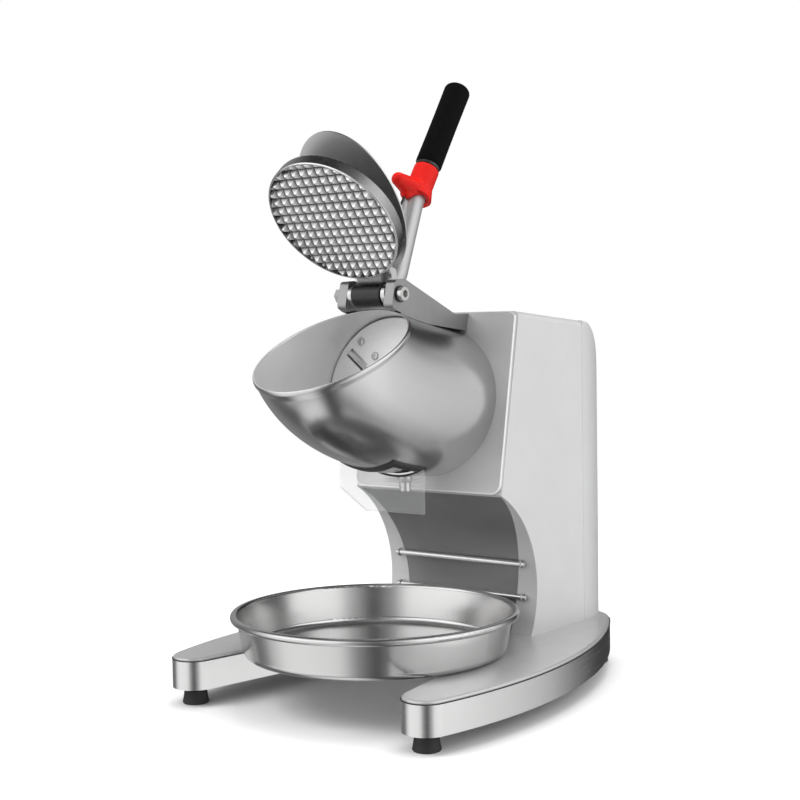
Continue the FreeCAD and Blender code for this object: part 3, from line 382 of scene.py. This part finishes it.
def laminations():
    look = Look("core_steel")
    layers = look.turned(DRUM_CENTRE, DRUM_AXIS, 1.0, 1.0)
    wave = look.node("ShaderNodeTexWave", bands_direction="Y")
    look.link(layers, wave.inputs["Vector"])
    wave.inputs["Scale"].default_value = 320.0
    grain = look.noise(look.place(), 500.0, 3.0)
    look.set(Base_Color=look.mix(wave.outputs["Fac"], grey(0.16), grey(0.34)), Metallic=1.0)
    look.set(Roughness=look.spread(grain, 0.3, 0.7, 0.34, 0.5))
    look.bump(wave.outputs["Fac"], 0.4, 0.0003)
    return look.material


def windings():
    look = Look("copper")
    turns = look.turned(DRUM_CENTRE, DRUM_AXIS, 900.0, 6.0)
    wire_turns_and_shade = look.cells(turns, 1.0).outputs["Distance"]
    # Each turn is painted lighter in its middle and darker away from it: painted shade in the gaps between the
    # turns.
    look.set(Base_Color=look.mix(wire_turns_and_shade, (0.45, 0.15, 0.05), (0.16, 0.045, 0.015)), Metallic=0.8)
    look.set(Roughness=look.spread(wire_turns_and_shade, 0.0, 1.0, 0.28, 0.5))
    look.bump(wire_turns_and_shade, 0.5, 0.0004)
    return look.material


def give(material, *names):
    for name in names:
        slots = nodes[name].material_slots
        for slot in slots:
            slot.material = material
        if not slots:
            nodes[name].data.materials.append(material)


def dress_the_frame():
    silver = painted("silver_paint", grey(0.60, -0.001), metallic=0.30, rough=0.44)
    give(silver, "column_shell", "rear_cover")
    give(painted("crown_paint", grey(0.50), metallic=0.45, rough=0.32), "base_casting")
    give(painted("panel_paint", grey(0.56), metallic=0.35, rough=0.38), "front_panel")
    # The concave recess panel is painted dark grey: painted shade for the hollow under the drum.
    give(painted("recess_paint", grey(0.20), metallic=0.45, rough=0.36), "recess_panel")
    give(painted("dark_underside", grey(0.10), metallic=0.2, rough=0.6), "base_floor")
    give(brushed("band_steel", grey(0.66, 0.002), 0.24, anisotropic=0.3, contrast=0.03), "base_band")
    give(turned_steel("tray_steel", TRAY_CENTRE, Z_AXIS, grey(0.62, 0.003), 0.20, contrast=0.02, streak=0.05,
                      dent=0.05, anisotropic=0.5), "tray")
    give(drum_steel(), "drum", "drum_flange", "guard_boss")
    # The blade disc is painted pale and mostly non-metallic so that it reads bright under the lamps: painted
    # light in place of steel's reflection.
    give(turned_steel("disc_steel", DRUM_CENTRE, DRUM_AXIS, grey(0.92), 0.50, fine=1800.0, metallic=0.35),
         "blade_disc", "disc_hub")
    give(brushed("blade_steel", grey(0.82), 0.18, streak=0.06), "blades")
    give(brushed("lid_steel", grey(0.74), 0.42, where=drawn(9, 1800, 1800), contrast=0.03), "lid_sheet")
    give(brushed("lever_steel", grey(0.52), 0.46, where=drawn(1800, 30, 30), contrast=0.03, metallic=0.8),
         "lever_tube")
    give(brushed("rod_steel", grey(0.68), 0.30, where=drawn(20, 2400, 2400)), "recess_rods")
    give(brushed("zinc_screw", grey(0.62, 0.003), 0.26, where=drawn(700, 700, 700), streak=0.12),
         "foot_screws", "rear_cover_screws", "drum_screws", "guard_bolt", "blade_screws", "hub_nut",
         "motor_bolts", "motor_standoffs", "bracket_screws", "hinge_bolt", "hinge_nut", "presser_screw",
         "lid_arms", "lid_rivets", "capacitor_clip")
    give(brushed("shaft_steel", grey(0.6), 0.22, where=drawn(1500, 1500, 40)),
         "motor_shaft", "front_bearing", "rear_bearing")
    give(cast("cast_alloy", grey(0.34)), "hinge_bracket", "presser_arm", "motor_front_bell", "motor_rear_bell")
    # The lever hub and hinge washers are near-black: partly their dark finish, partly painted shade between
    # the bracket arms.
    give(cast("dark_cast_painted_shade", grey(0.05), 0.3), "lever_hub", "hinge_washers")
    give(cast("motor_iron", grey(0.20), 0.5), "motor_housing")
    give(waffle(), "presser_disc")
    give(laminations(), "stator_core", "rotor_core")
    give(windings(), "stator_windings")
    give(rubber("rubber"), "rubber_feet")
    give(rubber("gasket", 0.03), "outlet_gasket", "shaft_seal")
    give(acrylic(), "ice_guard")
    give(plastic("black_plastic", grey(0.022), 0.34), "cord_inlet", "switch_bezel", "switch_rocker",
         "trigger_rod", "trigger_stop", "cooling_fan")
    give(plastic("white_plastic", grey(0.70), 0.45), "terminal_block")
    give(brushed("capacitor_can", grey(0.6), 0.34, where=drawn(900, 900, 20)), "run_capacitor")
    give(foam(), "lever_grip")
    give(plastic("red_plastic", (0.66, 0.006, 0.001), 0.42, deeper=(0.58, 0.004, 0.001), specular=0.25),
         "trigger_collar")


# Detail pieces

def piece(name, mesh, material, body):
    made = bpy.data.objects.new(name, mesh)
    bpy.context.scene.collection.objects.link(made)
    made.data.materials.clear()
    made.data.materials.append(material)
    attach(made, body)
    return made


def smooth(mesh):
    for face in mesh.polygons:
        face.use_smooth = True
    return mesh


def lathe(name, profile, origin, axis, steps=64):
    """A closed surface of revolution from (along, radius) pairs about an axis."""
    side = axis.orthogonal().normalized()
    other = axis.cross(side).normalized()
    form = bmesh.new()
    rings = []
    for along, radius in profile:
        ring = []
        for k in range(steps):
            turn = 2 * math.pi * k / steps
            out = side * math.cos(turn) + other * math.sin(turn)
            ring.append(form.verts.new(origin + axis * along + out * radius))
        rings.append(ring)
    for near, far in zip(rings, rings[1:] + rings[:1]):
        for k in range(steps):
            n = (k + 1) % steps
            form.faces.new((near[k], near[n], far[n], far[k]))
    bmesh.ops.recalc_face_normals(form, faces=form.faces)
    mesh = bpy.data.meshes.new(name)
    form.to_mesh(mesh)
    form.free()
    return smooth(mesh)


def tube(name, points, radius, steps=10, closed=False):
    """A round bead along a line of points."""
    curve = bpy.data.curves.new(name, "CURVE")
    curve.dimensions = "3D"
    curve.bevel_depth = radius
    curve.bevel_resolution = steps // 2
    curve.use_fill_caps = True
    line = curve.splines.new("POLY")
    line.points.add(len(points) - 1)
    for spot, point in zip(line.points, points):
        spot.co = (*point, 1)
    line.use_cyclic_u = closed
    holder = bpy.data.objects.new(name + "_line", curve)
    bpy.context.scene.collection.objects.link(holder)
    mesh = bpy.data.meshes.new_from_object(holder)
    bpy.data.objects.remove(holder)
    return smooth(mesh)


def material_of(name):
    return nodes[name].material_slots[0].material


def foam_grip():
    """The hand grip: softly crowned foam with a blunt end and a rolled lower lip."""
    lip = 0.0024
    crown = 0.0056
    waist = 0.00025
    low = LEVER_END - LEVER_WAY * (GRIP_LONG - GRIP_CAP)
    profile = [(lip * 0.25, GRIP_BORE), (0.0, GRIP_RADIUS - lip * 0.8), (lip * 0.25, GRIP_RADIUS - lip * 0.3),
               (lip, GRIP_RADIUS)]
    for k in range(1, 16):
        share = k / 16
        along = lip + (GRIP_LONG - lip - crown) * share
        profile.append((along, GRIP_RADIUS - waist * math.sin(math.pi * share)))
    for k in range(9):
        turn = math.pi / 2 * k / 8
        profile.append((GRIP_LONG - crown * (1 - math.sin(turn)), GRIP_RADIUS - crown * (1 - math.cos(turn))))
    floor = GRIP_LONG - GRIP_CAP
    profile += [(GRIP_LONG + 0.0002, 0.0004), (floor, 0.0004), (floor - 0.0002, GRIP_BORE)]
    grip = piece("foam_grip", lathe("foam_grip", profile, low, LEVER_WAY), foam(), "lever")
    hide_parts("lever_grip")


def drum_ring(share, grow):
    """One closed ring of the drum, from 0 at the panel to 1 at the mouth."""
    start = DRUM_CENTRE - DRUM_RISE * DRUM_RADIUS
    pull = [start, start + DRUM_AXIS * 0.010, MOUTH_FRONT + Vector((0, 0.0443, -0.0829)), MOUTH_FRONT]
    rest = 1 - share
    bottom = (pull[0] * rest ** 3 + pull[1] * 3 * rest * rest * share + pull[2] * 3 * rest * share * share
              + pull[3] * share ** 3)
    top = (DRUM_CENTRE + DRUM_RISE * DRUM_RADIUS).lerp(MOUTH_TOP, share)
    middle = (top + bottom) / 2
    tall = (top - bottom).length / 2 + grow
    upward = (top - bottom).normalized()
    wide = DRUM_RADIUS + (MOUTH_HALF - DRUM_RADIUS) * share + grow
    turns = [2 * math.pi * k / 192 for k in range(192)]
    return [middle + upward * tall * math.cos(a) + X_AXIS * wide * math.sin(a) for a in turns]


def rings_mesh(name, rings):
    """A closed surface through a loop of rings."""
    form = bmesh.new()
    rows = [[form.verts.new(point) for point in ring] for ring in rings]
    for near, far in zip(rows, rows[1:] + rows[:1]):
        for k in range(len(near)):
            n = (k + 1) % len(near)
            form.faces.new((near[k], near[n], far[n], far[k]))
    bmesh.ops.recalc_face_normals(form, faces=form.faces)
    mesh = bpy.data.meshes.new(name)
    form.to_mesh(mesh)
    form.free()
    return smooth(mesh)


def spun_drum():
    """The drum again with an even, finely divided surface, so that it reflects without dents."""
    rings = [drum_ring(k / 80, 0) for k in range(79)]
    middle = (DRUM_BEAD - DRUM_SHEET) / 2
    thick = (DRUM_BEAD + DRUM_SHEET) / 2
    for k in range(13):
        turn = math.pi * k / 12
        rings.append(drum_ring(0.985 + 0.015 * math.sin(turn), middle + thick * math.cos(turn)))
    rings += [drum_ring(k / 80, -DRUM_SHEET) for k in range(78, -1, -1)]
    shell = bpy.data.objects.new("shell", rings_mesh("spun_drum", rings))
    form = bmesh.new()
    bmesh.ops.create_cube(form, size=1.0)
    size = OUTLET_HIGH - OUTLET_LOW
    place = Matrix.Translation((OUTLET_LOW + OUTLET_HIGH) / 2) @ Matrix.Diagonal((*size, 1))
    bmesh.ops.transform(form, matrix=place, verts=form.verts)
    block = bpy.data.meshes.new("block")
    form.to_mesh(block)
    form.free()
    cutter = bpy.data.objects.new("cutter", block)
    for made in (shell, cutter):
        bpy.context.scene.collection.objects.link(made)
    cut = shell.modifiers.new("outlet", "BOOLEAN")
    cut.operation = "DIFFERENCE"
    cut.solver = "EXACT"
    cut.object = cutter
    graph = bpy.context.evaluated_depsgraph_get()
    mesh = bpy.data.meshes.new_from_object(shell.evaluated_get(graph))
    for made in (shell, cutter):
        bpy.data.objects.remove(made)
    smooth(mesh)
    mesh.set_sharp_from_angle(angle=math.radians(50))
    made = piece("spun_drum", mesh, material_of("drum"), "frame")
    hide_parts("drum")


def moulded_collar():
    """The sliding trigger with its corners melted together, as a moulding has them."""
    source = nodes["trigger_collar"]
    copy = bpy.data.objects.new("moulded_collar", source.data.copy())
    bpy.context.scene.collection.objects.link(copy)
    bake = copy.modifiers.new("voxels", "REMESH")
    bake.mode = "VOXEL"
    bake.voxel_size = 0.0006
    soften = copy.modifiers.new("soften", "SMOOTH")
    soften.factor = 0.5
    soften.iterations = 14
    graph = bpy.context.evaluated_depsgraph_get()
    mesh = bpy.data.meshes.new_from_object(copy.evaluated_get(graph))
    bpy.data.objects.remove(copy)
    made = piece("moulded_collar", smooth(mesh), material_of("trigger_collar"), "trigger")
    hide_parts("trigger_collar")


def panel_edge_highlight():
    """A pale bead down the front panel's sides and along its foot: a painted highlight on the panel's rounded
    edge.
    """
    low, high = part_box("front_panel")
    half = high.x - 0.0008
    corner = 0.0095
    foot = DRUM_CENTRE + DRUM_RISE * ((low.z + 0.0009 - DRUM_CENTRE.z) / DRUM_RISE.z)
    top = DRUM_CENTRE + DRUM_RISE * ((high.z - 0.004 - DRUM_CENTRE.z) / DRUM_RISE.z)
    points = [top + X_AXIS * half]
    centre = foot + X_AXIS * (half - corner) + DRUM_RISE * corner
    for k in range(13):
        turn = math.pi / 2 * k / 12
        points.append(centre + X_AXIS * corner * math.cos(turn) - DRUM_RISE * corner * math.sin(turn))
    points += [Vector((-p.x, p.y, p.z)) for p in reversed(points)]
    # Near-white paint for the painted edge highlight.
    look = painted("edge_highlight_paint", grey(0.86), metallic=0.1, rough=0.35)
    piece("panel_edge_highlight", tube("panel_edge_highlight", points, 0.0008), look, "frame")


def rod_cups():
    """Small eyelets where the recess rods go into the cheeks."""
    rods = [v.co for v in nodes["recess_rods"].data.vertices]
    middle = (min(c.z for c in rods) + max(c.z for c in rods)) / 2
    reach = max(c.x for c in rods) - 0.0045
    lower = [c for c in rods if c.z < middle]
    upper = [c for c in rods if c.z > middle]
    for name, rod in (("lower", lower), ("upper", upper)):
        y = (min(c.y for c in rod) + max(c.y for c in rod)) / 2
        z = (min(c.z for c in rod) + max(c.z for c in rod)) / 2
        for side, label in ((-1, "left"), (1, "right")):
            turns = [2 * math.pi * k / 36 for k in range(36)]
            ring = [Vector((side * reach, y + EYELET_RADIUS * math.cos(a), z + EYELET_RADIUS * math.sin(a)))
                    for a in turns]
            cup = f"rod_cup_{name}_{label}"
            piece(cup, tube(cup, ring, 0.0007, closed=True), material_of("recess_rods"), "frame")


def rim_loops(mesh, height, near=0.0002):
    """The closed loops of edges where a mesh's walls meet its flat top, as lists of (x, y)."""
    joined = {}
    for face in mesh.polygons:
        corners = [mesh.vertices[i].co for i in face.vertices]
        if all(abs(c.z - height) < near for c in corners):
            continue
        for a, b in zip(corners, corners[1:] + corners[:1]):
            if abs(a.z - height) < near and abs(b.z - height) < near:
                start = (round(a.x, 5), round(a.y, 5))
                end = (round(b.x, 5), round(b.y, 5))
                joined.setdefault(start, set()).add(end)
                joined.setdefault(end, set()).add(start)
    loops = []
    left = set(joined)
    while left:
        loop = [min(left)]
        left.discard(loop[0])
        while True:
            ahead = sorted(joined[loop[-1]] & left)
            if not ahead:
                break
            loop.append(ahead[0])
            left.discard(ahead[0])
        loops.append(loop)
    return loops


def base_seam():
    """The dark line between the casting's crown and the steel band."""
    band = nodes["base_band"].data
    top = max(v.co.z for v in band.vertices)
    outer = max(rim_loops(band, top), key=lambda loop: max(x for x, y in loop) - min(x for x, y in loop))
    points = [Vector((x, y, top + 0.0001)) for x, y in outer]
    seam = tube("base_seam", points, 0.00045, 6, closed=True)
    piece("base_seam", seam, rubber("seam_rubber", 0.02), "frame")


def switch_marks():
    """A bar and a ring moulded on the two halves of the rocker."""
    tilt = Matrix.Rotation(ROCKER_TILT, 3, "Y")

    def on_dish(y, z):
        depth = DISH_CENTRE + math.sqrt(DISH_RADIUS ** 2 - z * z)
        return ROCKER_PIN + tilt @ Vector((depth, y, z))

    turns = [2 * math.pi * k / 24 for k in range(24)]
    ring = [on_dish(0.0021 * math.cos(a), -0.0056 + 0.0021 * math.sin(a)) for a in turns]
    bar = [on_dish(0, 0.0036 + 0.0040 * k / 8) for k in range(9)]
    look = plastic("mark_plastic", grey(0.75), 0.4)
    piece("switch_ring", tube("switch_ring", ring, 0.0003, 6, closed=True), look, "switch")
    piece("switch_bar", tube("switch_bar", bar, 0.0003, 6), look, "switch")


# Studio

def studio_world():
    """A soft dome for dull surfaces, and tall pale and dark flats for metal to reflect."""
    world = bpy.data.worlds.new("studio")
    bpy.context.scene.world = world
    world.use_nodes = True
    net = Graph(world.node_tree)
    net.tree.nodes.clear()
    way = net.node("ShaderNodeTexCoord").outputs["Generated"]
    split = net.node("ShaderNodeSeparateXYZ")
    net.link(way, split.inputs[0])
    turn = net.maths("ARCTAN2", split.outputs["Y"], split.outputs["X"])
    flats = [(-180, 0.18), (-164, 0.22), (-150, 0.85), (-136, 1.25), (-84, 1.20), (-66, 0.34), (-50, 0.05),
             (-32, 0.50), (-16, 1.20), (24, 1.25), (42, 0.95), (58, 0.75), (76, 0.22), (90, 0.02),
             (112, 0.03), (124, 0.30), (160, 0.30), (180, 0.18)]
    strips = net.ramp(net.spread(turn, -math.pi, math.pi), [((a + 180) / 360, level) for a, level in flats])
    height = net.spread(split.outputs["Z"], -1, 1)
    fall = net.ramp(height, [(0.0, 0.06), (0.03, 0.10), (0.07, 0.30), (0.15, 0.70), (0.25, 0.90), (0.50, 1.0),
                             (0.60, 1.10), (0.72, 1.45), (0.84, 0.90), (0.92, 0.25), (1.0, 0.12)])
    leftward = net.spread(net.vector("DOT_PRODUCT", way, (-0.87, -0.5, 0.0)), -0.09, 0.16, smooth=True)
    steep = net.spread(split.outputs["Z"], -0.80, -0.95, smooth=True)
    pool = net.maths("MULTIPLY", net.maths("MULTIPLY", leftward, steep), 0.9)
    flat = net.node("ShaderNodeMath", operation="MULTIPLY_ADD")
    for socket, value in zip(flat.inputs, (strips, fall, pool)):
        net.link(value, socket)
    dome = net.ramp(height, [(0.0, 0.35), (0.45, 0.60), (0.60, 0.85), (1.0, 1.0)])
    path = net.node("ShaderNodeLightPath")
    tone = net.node("ShaderNodeMix", data_type="FLOAT")
    for socket, value in zip((tone.inputs[0], tone.inputs[2], tone.inputs[3]),
                             (path.outputs["Is Glossy Ray"], dome, flat.outputs[0])):
        net.link(value, socket)
    lit = net.node("ShaderNodeBackground")
    net.link(tone.outputs[0], lit.inputs["Color"])
    seen = net.node("ShaderNodeBackground")
    seen.inputs["Color"].default_value = (1, 1, 1, 1)
    pick = net.node("ShaderNodeMixShader")
    net.link(path.outputs["Is Camera Ray"], pick.inputs["Fac"])
    net.link(lit.outputs[0], pick.inputs[1])
    net.link(seen.outputs[0], pick.inputs[2])
    net.link(pick.outputs[0], net.node("ShaderNodeOutputWorld").inputs["Surface"])


def area_light(name, where, target, size, power):
    lamp = bpy.data.lights.new(name, "AREA")
    lamp.shape = "RECTANGLE"
    lamp.size, lamp.size_y = size
    lamp.energy = power
    holder = bpy.data.objects.new(name, lamp)
    bpy.context.scene.collection.objects.link(holder)
    holder.location = where
    holder.rotation_euler = (Vector(target) - Vector(where)).to_track_quat("-Z", "Y").to_euler()
    holder.visible_glossy = False


def studio_floor():
    """A pale floor that fades into the background and that metal doesn't mirror."""
    form = bmesh.new()
    bmesh.ops.create_grid(form, x_segments=8, y_segments=8, size=6.0)
    mesh = bpy.data.meshes.new("floor")
    form.to_mesh(mesh)
    form.free()
    floor = bpy.data.objects.new("floor", mesh)
    bpy.context.scene.collection.objects.link(floor)
    floor.location.z = -0.0002
    look = Look("floor")
    far = look.vector("LENGTH", look.place())
    fade = look.spread(far, 0.55, 1.3, smooth=True)
    grain = look.noise(look.place(), 30.0, 3.0)
    look.set(Base_Color=look.mix(grain, grey(0.86), grey(0.90)), Roughness=0.9)
    look.shader.inputs["Specular IOR Level"].default_value = 0.1
    path = look.node("ShaderNodeLightPath")
    clear = look.node("ShaderNodeBsdfTransparent")
    last = look.node("ShaderNodeMixShader")
    look.link(look.maths("MAXIMUM", path.outputs["Is Glossy Ray"], fade), last.inputs["Fac"])
    look.link(look.shader.outputs[0], last.inputs[1])
    look.link(clear.outputs[0], last.inputs[2])
    output = look.tree.nodes["Material Output"]
    look.link(last.outputs[0], output.inputs["Surface"])
    floor.data.materials.append(look.material)


def camera():
    """The view: in front and to the right, a little above the machine's middle."""
    turn, dip, roll = (math.radians(angle) for angle in (37.56, 2.79, -0.91))
    look = Vector((-math.sin(turn) * math.cos(dip), math.cos(turn) * math.cos(dip), -math.sin(dip)))
    right = Vector((math.cos(turn), math.sin(turn), 0))
    up = right.cross(look)
    across = right * math.cos(roll) + up * math.sin(roll)
    above = up * math.cos(roll) - right * math.sin(roll)
    data = bpy.data.cameras.new("camera")
    data.lens = 63.81
    data.sensor_width = 36.0
    data.clip_end = 50.0
    holder = bpy.data.objects.new("camera", data)
    bpy.context.scene.collection.objects.link(holder)
    axes = Matrix((across, above, -look)).transposed().to_4x4()
    holder.matrix_world = Matrix.Translation((0.80838, -1.08423, 0.33879)) @ axes
    bpy.context.scene.camera = holder


def main():
    camera()
    dress_the_frame()
    spun_drum()
    foam_grip()
    moulded_collar()
    panel_edge_highlight()
    rod_cups()
    base_seam()
    switch_marks()
    studio_world()
    studio_floor()
    area_light("key", (-0.9, -1.3, 1.7), (0, 0, 0.2), (1.1, 1.1), 20.0)
    area_light("top", (0.1, 0.3, 1.9), (0, -0.05, 0.1), (1.2, 1.2), 16.0)
    area_light("right", (1.7, 0.2, 0.9), (0, 0, 0.2), (0.7, 1.2), 9.0)
    bpy.context.scene.view_settings.view_transform = "Standard"


main()
